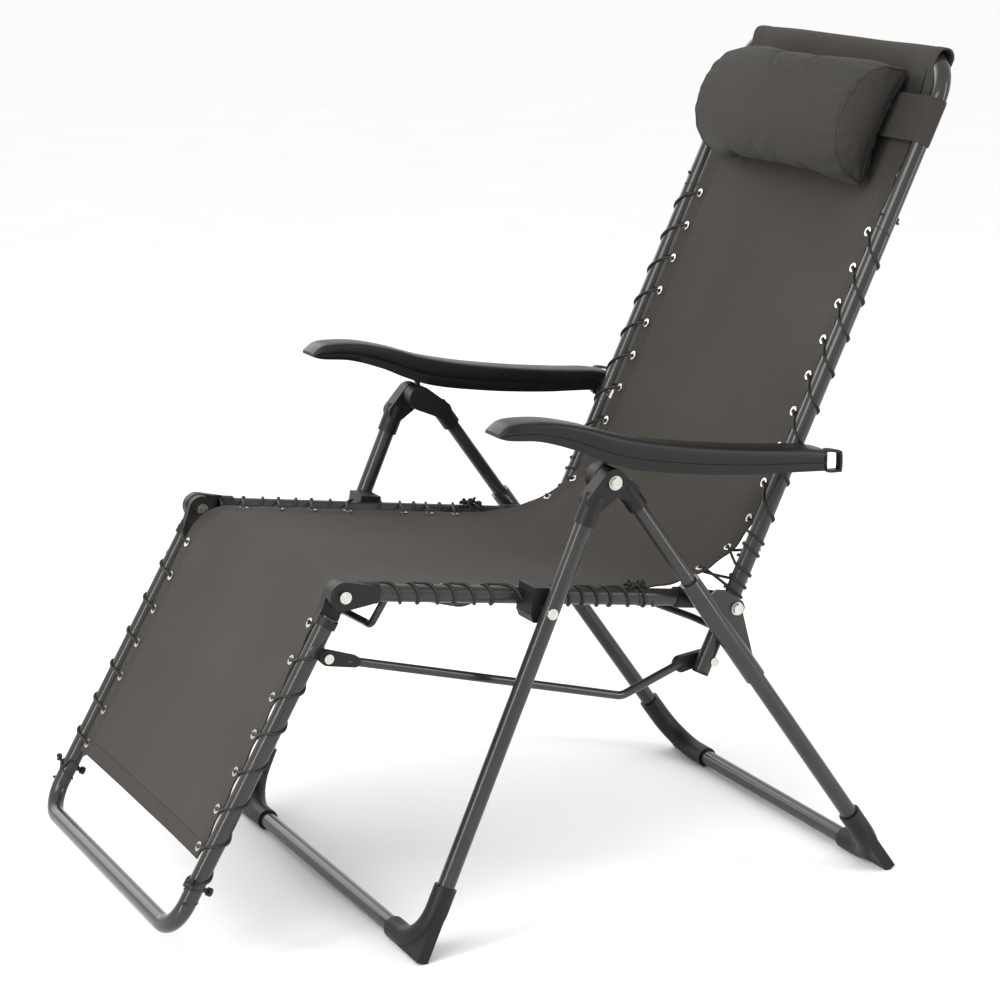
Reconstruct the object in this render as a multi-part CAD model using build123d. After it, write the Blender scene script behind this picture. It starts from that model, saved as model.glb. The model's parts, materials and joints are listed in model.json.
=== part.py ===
from build123d import *
import math
import os

# Driving dimensions, millimetres. Floor at z = 0, sitter faces -Y, +X is the sitter's left.
Y_SHIFT = 32.65
RAIL_X = 250.0
FRONT_LEG_X = 303.0
REAR_LEG_X = 277.0
TUBE_R = 11.0
TUBE_WALL = 1.2
STRUT_R = 9.5
ROD_R = 5.5
BEND_R = 58.0
FIT = 0.05
GAP = 0.4
BACK_ANGLE = 64.9
FOOT_ANGLE = 240.5
BACK_TOP = 755.0
BACK_TAIL = 92.0
FOOT_LENGTH = 451.0
CRANK = 75.0
CRANK_ANGLE = 250.0
SLING_T = 1.2
SLING_X = 229.0
EYELET_X = 219.0
EYELET_PITCH = 50.0
CORD_R = 1.9
FOOT_TUBE_Z = 13.5
CAP_R = 14.5


def yz(y, z):
    return (y + Y_SHIFT, z)


def toward(p, angle, dist, side=0.0):
    """Point at dist along angle from p, and side to the left of that line."""
    a = math.radians(angle)
    return (p[0] + dist * math.cos(a) - side * math.sin(a),
            p[1] + dist * math.sin(a) + side * math.cos(a))


def angle_of(p, q):
    return math.degrees(math.atan2(q[1] - p[1], q[0] - p[0]))


def span(p, q):
    return math.hypot(q[0] - p[0], q[1] - p[1])


KNEE = yz(-351.0, 462.0)
HIP = yz(186.0, 385.0)
SEAT_FRONT = yz(-357.2, 465.9)
SEAT_REAR = yz(193.2, 392.6)
LEG_PIVOT = yz(-99.0, 423.0)
APEX = yz(-13.5, 578.4)
FRONT_TOP = yz(-26.0, 584.0)
FRONT_TIP = yz(-277.3, 0.0)
STRUT_TOP = yz(1.8, 586.0)
REAR_TIP = yz(421.1, 0.0)
ARM_PIVOT = toward(HIP, BACK_ANGLE, 200.0)
LINK_FRONT = toward(KNEE, CRANK_ANGLE, CRANK)
LINK_REAR = toward(HIP, CRANK_ANGLE, CRANK)
SEAT_ANGLE = angle_of(SEAT_FRONT, SEAT_REAR)
FRONT_ANGLE = angle_of(FRONT_TIP, FRONT_TOP)
REAR_ANGLE = angle_of(REAR_TIP, STRUT_TOP)

os.makedirs("parts", exist_ok=True)


def v(x, p):
    return Vector(x, p[0], p[1])


def cyl(a, b, r, bore=0.0):
    """Round bar or tube from point a to point b."""
    a = Vector(*a)
    b = Vector(*b)
    place = Plane(origin=a, z_dir=(b - a).normalized())
    length = (b - a).length
    align = (Align.CENTER, Align.CENTER, Align.MIN)
    body = place * Cylinder(r, length, align=align)
    if bore:
        body -= Plane(origin=a - (b - a).normalized(), z_dir=(b - a).normalized()) * Cylinder(
            bore, length + 2.0, align=align)
    return body


def pin(p, x0, x1, r, bore=0.0):
    """Cylinder along X at profile point p."""
    return cyl((x0, p[0], p[1]), (x1, p[0], p[1]), r, bore)


def hexhead(p, x0, x1, across):
    place = Plane(origin=(x0, p[0], p[1]), z_dir=(1, 0, 0))
    return extrude(place * RegularPolygon(across / 2.0, 6, major_radius=False), x1 - x0)


def plate(points, x0, x1):
    """Flat plate in the profile plane between two X stations."""
    place = Plane(origin=(x0, 0, 0), x_dir=(0, 1, 0), z_dir=(1, 0, 0))
    outline = Polyline(*[(p[0], p[1]) for p in points], close=True)
    return extrude(place * make_face(outline), x1 - x0)


def strap(p, rp, q, rq, x0, x1):
    """Plate with round ends of radius rp at p and rq at q."""
    d = span(p, q)
    a = angle_of(p, q)
    lean = math.degrees(math.acos((rp - rq) / d))
    corners = [toward(p, a + lean, rp), toward(q, a + lean, rq),
               toward(q, a - lean, rq), toward(p, a - lean, rp)]
    body = plate(corners, x0, x1)
    body += pin(p, x0, x1, rp)
    body += pin(q, x0, x1, rq)
    return body


def bent(points, bend, r, bore=0.0):
    """Round tube along a path with equal bends."""
    path = FilletPolyline(*[Vector(*p) for p in points], radius=bend)
    section = Plane(origin=path @ 0, z_dir=path % 0)
    body = sweep(section * Circle(r), path=path)
    if bore:
        body -= sweep(section * Circle(bore), path=path)
    return body


def mirrored(shape):
    return mirror(shape, about=Plane.YZ)


def save(shape, name):
    export_step(shape, f"parts/{name}.step")


def save_pair(shape, name):
    save(shape, f"{name}_left")
    save(mirrored(shape), f"{name}_right")


def save_both(shape, name):
    solids = shape.solids() + mirrored(shape).solids()
    save(Compound(children=solids), name)


BORE = TUBE_R - TUBE_WALL
TOP_CORNER = toward(HIP, BACK_ANGLE, BACK_TOP)
TAIL_END = toward(HIP, BACK_ANGLE, -BACK_TAIL)
FOOT_CORNER = toward(KNEE, FOOT_ANGLE, FOOT_LENGTH)

# ---------------------------------------------------------------- seat frame
seat_rail_a = toward(SEAT_FRONT, SEAT_ANGLE, 34.0)
seat_rail_b = toward(SEAT_REAR, SEAT_ANGLE, -52.0)
seat_rail = cyl(v(RAIL_X, seat_rail_a), v(RAIL_X, seat_rail_b), TUBE_R, BORE)
save_pair(seat_rail, "seat_rail")

# Knuckle on the outer half of the knee joint, socketed over the front of the seat rail.
SOCKET_R = 13.5
KNUCKLE_CLEAR = 34.0
knee_outer = cyl(v(RAIL_X, toward(SEAT_FRONT, SEAT_ANGLE, 28.0)),
                 v(RAIL_X, toward(SEAT_FRONT, SEAT_ANGLE, 54.0)), SOCKET_R)
knee_outer += strap(KNEE, 18.0, toward(SEAT_FRONT, SEAT_ANGLE, 42.0), 11.5, RAIL_X + GAP, 263.5)
knee_outer -= cyl(v(RAIL_X, seat_rail_a), v(RAIL_X, seat_rail_b), TUBE_R)
knee_outer -= pin(KNEE, 230.0, RAIL_X, KNUCKLE_CLEAR)
knee_outer -= pin(KNEE, 230.0, 280.0, 4.0 + FIT)
save_both(knee_outer, "knee_knuckle_seats")

# Rear fitting, socketed on the rail end with an inboard cheek that reaches the back hinge.
fit_a = toward(SEAT_REAR, SEAT_ANGLE, -46.0)
fit_b = toward(SEAT_REAR, SEAT_ANGLE, -88.0)
rear_fitting = cyl(v(RAIL_X, fit_a), v(RAIL_X, fit_b), SOCKET_R)
rear_fitting += strap(HIP, 13.0, toward(SEAT_REAR, SEAT_ANGLE, -70.0), 12.0, 235.6, 238.6)
rear_fitting -= cyl(v(RAIL_X, seat_rail_a), v(RAIL_X, seat_rail_b), TUBE_R)
rear_fitting -= cyl(v(RAIL_X, seat_rail_b), v(RAIL_X, toward(SEAT_REAR, SEAT_ANGLE, -40.0)), BORE)
rear_fitting -= pin(HIP, 230.0, 245.0, 4.0 + FIT)
save_both(rear_fitting, "seat_rear_fittings")

# Front cross bar: thin rod that drops below the rails and bows down across the seat.
BAR_R = 4.7
bar_top = yz(-284.0, 452.0)
bar_low = yz(-303.0, 413.0)
bar_mid = yz(-303.0, 403.0)
front_bar = bent([v(RAIL_X - 11.5, bar_top), v(229.0, bar_low), v(0.0, bar_mid),
                  v(-229.0, bar_low), v(-RAIL_X + 11.5, bar_top)], 9.0, BAR_R)
for side in (1, -1):
    front_bar -= cyl(v(side * RAIL_X, seat_rail_a), v(side * RAIL_X, seat_rail_b), TUBE_R)
save(front_bar, "seat_front_bar")

# Leg pivot block: plastic body between seat rail and front leg, with its rivet.
block = plate([toward(LEG_PIVOT, SEAT_ANGLE, -17.0, 27.0), toward(LEG_PIVOT, SEAT_ANGLE, 13.0, 27.0),
               toward(LEG_PIVOT, SEAT_ANGLE, 13.0, -10.0), toward(LEG_PIVOT, SEAT_ANGLE, 4.0, -17.0),
               toward(LEG_PIVOT, SEAT_ANGLE, -12.0, -17.0), toward(LEG_PIVOT, SEAT_ANGLE, -17.0, -8.0)],
              RAIL_X, FRONT_LEG_X - TUBE_R - 0.6)
block -= cyl(v(RAIL_X, seat_rail_a), v(RAIL_X, seat_rail_b), TUBE_R)
block -= pin(LEG_PIVOT, RAIL_X - 5, 300.0, 3.5 + FIT)
save_both(block, "leg_pivot_blocks")

# ---------------------------------------------------------------- front legs
front_low = toward(FRONT_TIP, FRONT_ANGLE, FOOT_TUBE_Z / math.sin(math.radians(FRONT_ANGLE)))
front_bend = toward(front_low, FRONT_ANGLE, BEND_R)
front_end = toward(FRONT_TOP, FRONT_ANGLE, -26.0)
front_leg = cyl(v(FRONT_LEG_X, front_bend), v(FRONT_LEG_X, front_end), TUBE_R, BORE)
front_leg -= pin(LEG_PIVOT, 280.0, 330.0, 3.5 + FIT)
save_pair(front_leg, "front_leg")


def leg_cross(half, low, angle):
    up = toward(low, angle, BEND_R)
    body = bent([v(half, up), v(half, low), v(-half, low), v(-half, up)], BEND_R - 0.5, TUBE_R, BORE)
    return body


front_cross = leg_cross(FRONT_LEG_X, front_low, FRONT_ANGLE)
save(front_cross, "front_cross_tube")


def foot_cap(half, low, angle, tip, rise):
    """Plastic cap round the floor bend, with a fin out to the corner."""
    up = toward(low, angle, rise)
    inner = half - rise
    core = bent([v(half, up), v(half, low), v(inner, low)], BEND_R - 0.5, CAP_R)
    place = Plane(origin=v(half, low), x_dir=(1, 0, 0), z_dir=(0, math.sin(math.radians(angle)),
                                                               -math.cos(math.radians(angle))))
    reach = FOOT_TUBE_Z / math.sin(math.radians(angle))
    flip = 1.0 if abs((place.y_dir - Vector(0, math.cos(math.radians(angle)),
                                            math.sin(math.radians(angle)))).length) < 0.5 else -1.0
    fin = Polyline((CAP_R - 1.0, flip * (BEND_R + 6.0)), (CAP_R - 1.0, -flip * (reach - 1.0)),
                   (-BEND_R - 8.0, -flip * (CAP_R - 2.0)), (-BEND_R, -flip * 6.0), (0.0, flip * 20.0), close=True)
    core += extrude(place * make_face(fin), 7.5, both=True)
    core -= Pos(half - 60.0, low[0], -50.0) * Box(400.0, 400.0, 100.0)
    core -= bent([v(half, toward(low, angle, rise + 30.0)), v(half, low), v(inner - 30.0, low)],
                 BEND_R - 0.5, TUBE_R)
    return max(core.solids(), key=lambda piece: piece.volume)


front_foot = foot_cap(FRONT_LEG_X, front_low, FRONT_ANGLE, FRONT_TIP, 84.0)
save_pair(front_foot, "front_foot")

# Hub on the leg head: outer half of the apex joint.
hub = cyl(v(FRONT_LEG_X, toward(FRONT_TOP, FRONT_ANGLE, -62.0)),
          v(FRONT_LEG_X, toward(FRONT_TOP, FRONT_ANGLE, -22.0)), SOCKET_R)
hub += strap(APEX, 17.0, toward(FRONT_TOP, FRONT_ANGLE, -30.0), 13.0, 291.5, 314.0)
hub -= cyl(v(FRONT_LEG_X, front_bend), v(FRONT_LEG_X, front_end), TUBE_R)
hub -= pin(APEX, 285.0, 320.0, 4.5)
save_both(hub, "apex_hubs")

apex_bolt = pin(APEX, 291.5, 314.0, 4.0)
apex_bolt += pin(APEX, 314.0, 315.5, 9.0)
apex_bolt += hexhead(APEX, 315.5, 319.5, 13.0)
save_both(apex_bolt, "apex_bolts")

pivot_rivet = pin(LEG_PIVOT, 263.0, 314.2, 3.5)
pivot_rivet += pin(LEG_PIVOT, 314.2, 316.8, 7.0)
save_both(pivot_rivet, "leg_pivot_rivets")

# ---------------------------------------------------------------- rear legs
rear_low = toward(REAR_TIP, REAR_ANGLE, FOOT_TUBE_Z / math.sin(math.radians(REAR_ANGLE)))
rear_bend = toward(rear_low, REAR_ANGLE, BEND_R)
REAR_LENGTH = span(REAR_TIP, STRUT_TOP)
collar_top = toward(STRUT_TOP, REAR_ANGLE, -191.0)
collar_low = toward(STRUT_TOP, REAR_ANGLE, -361.0)
leg_head = toward(STRUT_TOP, REAR_ANGLE, -197.0)
rear_leg = cyl(v(REAR_LEG_X, rear_bend), v(REAR_LEG_X, leg_head), TUBE_R, BORE)
save_pair(rear_leg, "rear_leg")
rear_cross = leg_cross(REAR_LEG_X, rear_low, REAR_ANGLE)
save(rear_cross, "rear_cross_tube")
rear_foot = foot_cap(REAR_LEG_X, rear_low, REAR_ANGLE, REAR_TIP, 88.0)
save_pair(rear_foot, "rear_foot")

# Sleeve on the telescoping joint, with a pressed gusset that reaches the back hinge.
SLEEVE_R = 13.4
sleeve = cyl(v(REAR_LEG_X, collar_top), v(REAR_LEG_X, collar_low), SLEEVE_R)
sleeve -= cyl(v(REAR_LEG_X, rear_bend), v(REAR_LEG_X, leg_head), TUBE_R)
sleeve -= cyl(v(REAR_LEG_X, rear_bend), v(REAR_LEG_X, STRUT_TOP), STRUT_R + 0.35)
save_both(sleeve, "slide_sleeves")
gusset = plate([toward(STRUT_TOP, REAR_ANGLE, -231.0, -6.0), toward(STRUT_TOP, REAR_ANGLE, -231.0, -25.0),
                toward(STRUT_TOP, REAR_ANGLE, -240.0, -34.0), toward(HIP, 40.0, 12.5),
                toward(HIP, 0.0, 12.5), toward(HIP, -40.0, 13.0),
                toward(STRUT_TOP, REAR_ANGLE, -345.0, -13.0), toward(STRUT_TOP, REAR_ANGLE, -345.0, -6.0)],
               267.6, 271.0)
gusset -= cyl(v(REAR_LEG_X, rear_bend), v(REAR_LEG_X, STRUT_TOP), SLEEVE_R)
gusset -= pin(HIP, 260.0, 280.0, 4.0 + FIT)
save_both(gusset, "hinge_gussets")

# ---------------------------------------------------------------- sliding struts
strut_low = toward(STRUT_TOP, REAR_ANGLE, -430.0)
strut_high = toward(STRUT_TOP, REAR_ANGLE, -34.0)
strut = cyl(v(REAR_LEG_X, strut_low), v(REAR_LEG_X, strut_high), STRUT_R, STRUT_R - 1.2)
save_pair(strut, "rear_strut")
head = cyl(v(REAR_LEG_X, toward(STRUT_TOP, REAR_ANGLE, -62.0)),
           v(REAR_LEG_X, toward(STRUT_TOP, REAR_ANGLE, -26.0)), 12.6)
head += strap(APEX, 17.0, toward(STRUT_TOP, REAR_ANGLE, -34.0), 12.0, 266.0, 289.0)
head -= cyl(v(REAR_LEG_X, strut_low), v(REAR_LEG_X, strut_high), STRUT_R)
save_both(head, "strut_heads")
REST_PEG_R = 3.5
peg = cyl((282.0, APEX[0] + 2.0, APEX[1] + 12.0), (282.0, APEX[0] + 2.0, APEX[1] + 25.0), REST_PEG_R)
peg += cyl((282.0, APEX[0] + 2.0, APEX[1] + 21.0), (282.0, APEX[0] + 2.0, APEX[1] + 25.5), 5.0)
peg -= pin(APEX, 260.0, 295.0, 17.0)
save_both(peg, "rest_pegs")

# ---------------------------------------------------------------- back frame
back_end = toward(HIP, BACK_ANGLE, BACK_TOP - BEND_R)
back_rail = cyl(v(RAIL_X, TAIL_END), v(RAIL_X, back_end), TUBE_R, BORE)
back_rail -= pin(HIP, 235.0, 265.0, 4.0 + FIT)
back_rail -= pin(ARM_PIVOT, 235.0, 265.0, 3.5 + FIT)
back_rail -= pin(LINK_REAR, 235.0, 265.0, 3.0 + FIT)
save_pair(back_rail, "back_rail")
top_tube = bent([v(RAIL_X, back_end), v(RAIL_X, TOP_CORNER), v(-RAIL_X, TOP_CORNER), v(-RAIL_X, back_end)],
                BEND_R - 0.5, TUBE_R, BORE)
save(top_tube, "back_top_tube")
tail_cap = cyl(v(RAIL_X, TAIL_END), v(RAIL_X, toward(TAIL_END, BACK_ANGLE, -3.5)), TUBE_R)
tail_cap += cyl(v(RAIL_X, TAIL_END), v(RAIL_X, toward(TAIL_END, BACK_ANGLE, 5.0)), BORE)
save_both(tail_cap, "back_tail_caps")
lower_a = toward(HIP, BACK_ANGLE, -34.0)
lower_b = toward(lower_a, BACK_ANGLE, 0.0, 14.0)
lower_c = toward(lower_a, BACK_ANGLE, -6.0, 48.0)
lower_bar = bent([v(RAIL_X - 9.0, lower_a), v(205.0, lower_b), v(110.0, lower_c), v(-110.0, lower_c),
                  v(-205.0, lower_b), v(-RAIL_X + 9.0, lower_a)], 60.0, BAR_R)
for side in (1, -1):
    lower_bar -= cyl(v(side * RAIL_X, TAIL_END), v(side * RAIL_X, back_end), TUBE_R)
save(lower_bar, "back_lower_bar")

# ---------------------------------------------------------------- footrest frame
foot_a = toward(KNEE, FOOT_ANGLE, 30.0)
foot_b = toward(KNEE, FOOT_ANGLE, FOOT_LENGTH - BEND_R)
foot_rail = cyl(v(RAIL_X, foot_a), v(RAIL_X, foot_b), TUBE_R, BORE)
save_pair(foot_rail, "foot_rail")
foot_cross = bent([v(RAIL_X, foot_b), v(RAIL_X, FOOT_CORNER), v(-RAIL_X, FOOT_CORNER), v(-RAIL_X, foot_b)],
                  BEND_R - 18.0, TUBE_R, BORE)
save(foot_cross, "foot_cross_tube")
knee_inner = cyl(v(RAIL_X, toward(KNEE, FOOT_ANGLE, 24.0)),
                 v(RAIL_X, toward(KNEE, FOOT_ANGLE, 43.0)), SOCKET_R)
knee_inner += strap(KNEE, 17.0, toward(KNEE, FOOT_ANGLE, 32.0), 11.0, 237.0, RAIL_X - GAP)
knee_inner -= cyl(v(RAIL_X, foot_a), v(RAIL_X, foot_b), TUBE_R)
knee_inner -= pin(KNEE, RAIL_X, 280.0, KNUCKLE_CLEAR)
knee_inner -= pin(KNEE, 230.0, 280.0, 4.0 + FIT)
save_both(knee_inner, "knee_knuckle_foots")
lug_root = toward(KNEE, FOOT_ANGLE, span(KNEE, LINK_FRONT) * 0.98)
lug = strap(LINK_FRONT, 8.0, lug_root, 8.0, 256.0, 262.0)
lug -= cyl(v(RAIL_X, foot_a), v(RAIL_X, foot_b), TUBE_R)
lug -= pin(LINK_FRONT, 250.0, 270.0, 3.0)
save_both(lug, "link_lugs")
link_bolt = pin(LINK_FRONT, 255.0, 273.2, 3.0)
link_bolt += pin(LINK_FRONT, 273.2, 276.6, 6.0)
link_bolt += pin(LINK_FRONT, 253.0, 256.0, 5.0)
link_bolt -= cyl(v(RAIL_X, foot_a), v(RAIL_X, foot_b), TUBE_R)
save_both(link_bolt, "link_bolt_fronts")
peg_at = toward(KNEE, FOOT_ANGLE, FOOT_LENGTH - 62.0)
cord_peg = cyl(v(RAIL_X, peg_at), v(RAIL_X, toward(peg_at, FOOT_ANGLE + 90.0, 22.0)), 3.2)
cord_peg += cyl(v(RAIL_X, toward(peg_at, FOOT_ANGLE + 90.0, 17.0)),
                v(RAIL_X, toward(peg_at, FOOT_ANGLE + 90.0, 22.0)), 5.4)
cord_peg -= cyl(v(RAIL_X, foot_a), v(RAIL_X, toward(KNEE, FOOT_ANGLE, FOOT_LENGTH)), TUBE_R)
save_both(cord_peg, "cord_pegs")

# ---------------------------------------------------------------- pins of the fold
hip_bolt = pin(HIP, 233.0, 273.4, 4.0)
hip_bolt += pin(HIP, 230.0, 235.2, 7.0)
hip_bolt += pin(HIP, 261.6, 267.2, 8.0)
hip_bolt += pin(HIP, 271.4, 273.0, 8.6)
hip_bolt += hexhead(HIP, 273.0, 278.0, 13.0)
save_both(hip_bolt, "hip_bolts")
knee_bolt = pin(KNEE, 234.0, 266.5, 4.0)
knee_bolt += pin(KNEE, 231.5, 236.6, 7.5)
knee_bolt += pin(KNEE, 263.9, 268.5, 7.5)
save_both(knee_bolt, "knee_bolts")
link_pin = pin(LINK_REAR, 226.0, 262.4, 3.0)
link_pin += pin(LINK_REAR, 261.4, 263.0, 6.0)
link_pin += pin(LINK_REAR, 222.6, 226.4, 5.5)
save_both(link_pin, "link_bolt_rears")

# ---------------------------------------------------------------- link rods
eye_front = strap(LINK_FRONT, 9.5, toward(LINK_FRONT, -14.0, 36.0), 7.0, 263.0, 272.6)
eye_front -= pin(LINK_FRONT, 250.0, 280.0, 3.0 + GAP)
rod_start = toward(LINK_FRONT, -15.0, 26.0)
rod_bend = yz(36.0, 281.0)
rod_rise = toward(LINK_REAR, 192.0, 46.0)
rod_end = toward(LINK_REAR, 180.0, 22.0)
rod = bent([v(267.5, rod_start), v(243.0, rod_bend), v(232.0, rod_rise), v(231.0, rod_end)], 28.0, ROD_R)
eye_front -= rod
save_both(eye_front, "link_end_fronts")
save_pair(rod, "link_rod")
eye_rear = strap(LINK_REAR, 9.0, toward(LINK_REAR, 190.0, 34.0), 10.5, 227.0, 236.6)
eye_rear += cyl(v(231.5, toward(LINK_REAR, 186.0, 16.0)), v(231.5, toward(LINK_REAR, 190.0, 40.0)), 8.2)
eye_rear -= Pos(250.0, LINK_REAR[0], LINK_REAR[1]) * Box(26.0, 160.0, 160.0)
eye_rear -= rod
eye_rear -= pin(LINK_REAR, 215.0, 245.0, 3.0 + GAP)
save_both(eye_rear, "link_end_rears")

# ---------------------------------------------------------------- armrests
arm_pin = pin(ARM_PIVOT, 237.0, 268.0, 3.5)
arm_pin += pin(ARM_PIVOT, 234.4, 238.8, 6.5)
save_both(arm_pin, "arm_bolts")
arm_washer = pin(ARM_PIVOT, 261.5, 268.8, 7.5, 3.5 + FIT)
save_both(arm_washer, "arm_washers")
ARM_IN = 270.0
ARM_OUT = 320.0
top_line = [yz(-170.0, 655.0), yz(-158.0, 662.5), yz(-139.6, 665.0), yz(-101.0, 662.5), yz(-55.0, 652.0),
            yz(-7.5, 636.5), yz(40.0, 625.0), yz(89.0, 616.0), yz(154.0, 606.5), yz(221.0, 599.0),
            yz(261.0, 595.5), yz(286.0, 591.0)]
low_line = [yz(286.0, 564.6), yz(231.5, 568.0), yz(188.0, 570.0), yz(122.0, 576.0), yz(73.0, 582.5),
            yz(25.0, 590.5), yz(-7.0, 598.5), yz(-39.0, 611.0), yz(-70.0, 625.0), yz(-117.0, 640.0),
            yz(-159.0, 645.0), yz(-171.0, 648.0)]
arm_plane = Plane(origin=(ARM_IN, 0, 0), x_dir=(0, 1, 0), z_dir=(1, 0, 0))
arm_face = make_face([Spline(*top_line), Line(top_line[-1], low_line[0]), Spline(*low_line),
                      Line(low_line[-1], top_line[0])])
arm = extrude(arm_plane * arm_face, ARM_OUT - ARM_IN)
# Channel under the arm, open downwards, with the rack of notches on its ceiling.
WALL = 4.0
roof = [(p[0], p[1] - WALL - 2.0) for p in top_line[2:-2]]
floor_line = [(p[0], p[1] - 12.0) for p in reversed(low_line[2:-1])]
chan_face = make_face([Spline(*roof), Line(roof[-1], (roof[-1][0], 540.0)),
                       Line((roof[-1][0], 540.0), (roof[0][0], 540.0)), Line((roof[0][0], 540.0), roof[0])])
chan_plane = Plane(origin=(ARM_IN + WALL, 0, 0), x_dir=(0, 1, 0), z_dir=(1, 0, 0))
arm -= extrude(chan_plane * chan_face, ARM_OUT - ARM_IN - 2 * WALL)
boss = pin(ARM_PIVOT, ARM_IN, 280.0, 13.0)
arm += boss & extrude(arm_plane * arm_face, ARM_OUT - ARM_IN)
arm -= pin(ARM_PIVOT, 260.0, 276.0, 3.5 + FIT)
# Loop handle at the rear end.
loop_out = plate([yz(285.0, 591.2), yz(304.0, 590.0), yz(309.0, 586.0), yz(309.0, 562.0), yz(305.0, 561.0),
                  yz(285.0, 564.6)], ARM_IN, ARM_OUT)
loop_out -= plate([yz(286.5, 587.5), yz(305.2, 586.0), yz(305.2, 565.0), yz(286.5, 568.0)],
                  ARM_IN - 5, ARM_OUT + 5)
arm += loop_out
save_pair(arm, "armrest")

# ---------------------------------------------------------------- sling panels
# Seat panel in the plane of the seat rails, rising into the round corner; back and foot panels.
seat_plane_a = toward(SEAT_FRONT, SEAT_ANGLE, 42.0, 3.0)


def sheet(points, half):
    upper = []
    lower = []
    for i, p in enumerate(points):
        a = points[max(0, i - 1)]
        b = points[min(len(points) - 1, i + 1)]
        ang = angle_of(a, b)
        upper.append(toward(p, ang, 0.0, SLING_T / 2.0))
        lower.append(toward(p, ang, 0.0, -SLING_T / 2.0))
    place = Plane(origin=(-half, 0, 0), x_dir=(0, 1, 0), z_dir=(1, 0, 0))
    if len(points) > 2:
        edges = [Spline(*upper), Line(upper[-1], lower[-1]), Spline(*reversed(lower)), Line(lower[0], upper[0])]
    else:
        edges = [Polyline(*(upper + lower[::-1]), close=True)]
    return extrude(place * make_face(edges), 2 * half)


def punched(body, centres, normal_angle):
    """Cut one hole per eyelet, both sides."""
    for c in centres:
        for side in (1, -1):
            a = toward(c, normal_angle, -5.0)
            b = toward(c, normal_angle, 5.0)
            body -= cyl(v(side * EYELET_X, a), v(side * EYELET_X, b), 3.9)
    return body


def ring(centre, normal_angle, side):
    """Brass-type eyelet: barrel with a flange on each face."""
    parts = None
    h = SLING_T / 2.0
    for lo, hi, r in ((-h - 0.9, -h, 6.4), (-h, h, 3.8), (h, h + 0.9, 6.4)):
        a = toward(centre, normal_angle, lo)
        b = toward(centre, normal_angle, hi)
        piece = cyl(v(side * EYELET_X, a), v(side * EYELET_X, b), r, 3.1)
        parts = piece if parts is None else parts + piece
    return parts


def rings(centres, normal_angle):
    solids = []
    for c in centres:
        for side in (1, -1):
            solids += ring(c, normal_angle, side).solids()
    return Compound(children=solids)


SEAT_TURNS = (60.0, 112.0, 160.0, 212.0, 296.0, 336.0, 376.0)
seat_eyes = [toward(SEAT_FRONT, SEAT_ANGLE, s, 3.0) for s in SEAT_TURNS]
back_eyes = [toward(HIP, BACK_ANGLE, 112.0 + EYELET_PITCH * i) for i in range(9)]
foot_eyes = [toward(KNEE, FOOT_ANGLE, 48.0 + EYELET_PITCH * i, -4.0) for i in range(7)]
seat_plane_b = toward(SEAT_FRONT, SEAT_ANGLE, 392.0, 3.0)
rise_mid = toward(seat_plane_b, SEAT_ANGLE, 40.0, 5.0)
rise_end = toward(seat_plane_b, SEAT_ANGLE, 72.0, 17.0)
seat_panel = sheet([seat_plane_a, seat_plane_b], SLING_X)
seat_panel += sheet([seat_plane_b, rise_mid, rise_end], SLING_X)
sling_seat = punched(seat_panel, seat_eyes, SEAT_ANGLE + 90.0)
save(sling_seat, "sling_seat")
save(rings(seat_eyes, SEAT_ANGLE + 90.0), "seat_eyelets")
back_low = toward(HIP, BACK_ANGLE, 92.0)
back_high = toward(HIP, BACK_ANGLE, BACK_TOP - 70.0)
sling_back = punched(sheet([back_low, back_high], SLING_X), back_eyes, BACK_ANGLE + 90.0)
save(sling_back, "sling_back")
save(rings(back_eyes, BACK_ANGLE + 90.0), "back_eyelets")
foot_low = toward(KNEE, FOOT_ANGLE, 362.0, -4.0)
foot_high = toward(KNEE, FOOT_ANGLE, 26.0, -4.0)
sling_foot = punched(sheet([foot_high, foot_low], SLING_X), foot_eyes, FOOT_ANGLE + 90.0)
save(sling_foot, "sling_foot")
save(rings(foot_eyes, FOOT_ANGLE + 90.0), "foot_eyelets")

# Sleeve of the sling round the top tube.
sleeve_ring = cyl(v(-190.0, TOP_CORNER), v(190.0, TOP_CORNER), TUBE_R + 0.3 + SLING_T, TUBE_R + 0.3)
save(sleeve_ring, "sling_top_sleeve")

# ---------------------------------------------------------------- elastic cord
WRAP = TUBE_R + CORD_R + 0.25


EYE_TURN = 3.2


def loop(eye, angle, rail_n):
    """One turn of elastic cord: through the eyelet and round the rail."""
    normal = toward((0.0, 0.0), angle, 0.0, 1.0)
    place = Plane(origin=v(0.0, eye), x_dir=(1, 0, 0),
                  z_dir=Vector(1, 0, 0).cross(Vector(0.0, normal[0], normal[1])))
    small = (EYELET_X + EYE_TURN, 0.0)
    big = (RAIL_X, rail_n)
    a = angle_of(small, big)
    lean = math.degrees(math.acos((EYE_TURN - WRAP) / span(small, big)))
    up_s = toward(small, a + lean, EYE_TURN)
    up_b = toward(big, a + lean, WRAP)
    low_b = toward(big, a - lean, WRAP)
    low_s = toward(small, a - lean, EYE_TURN)
    mid = ((up_s[0] + up_b[0]) / 2.0, (up_s[1] + up_b[1]) / 2.0)
    edges = [Line(mid, up_b), ThreePointArc(up_b, toward(big, a, WRAP), low_b), Line(low_b, low_s),
             ThreePointArc(low_s, toward(small, a + 180.0, EYE_TURN), up_s), Line(up_s, mid)]
    path = place * Wire(edges)
    section = Plane(origin=path @ 0, z_dir=path % 0)
    return sweep(section * Circle(CORD_R), path=path)


def loops(eyes, angle, rail_n):
    first = loop(eyes[0], angle, rail_n)
    solids = []
    for e in eyes:
        solids += (Pos(0.0, e[0] - eyes[0][0], e[1] - eyes[0][1]) * first).solids()
    return Compound(children=solids)


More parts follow.
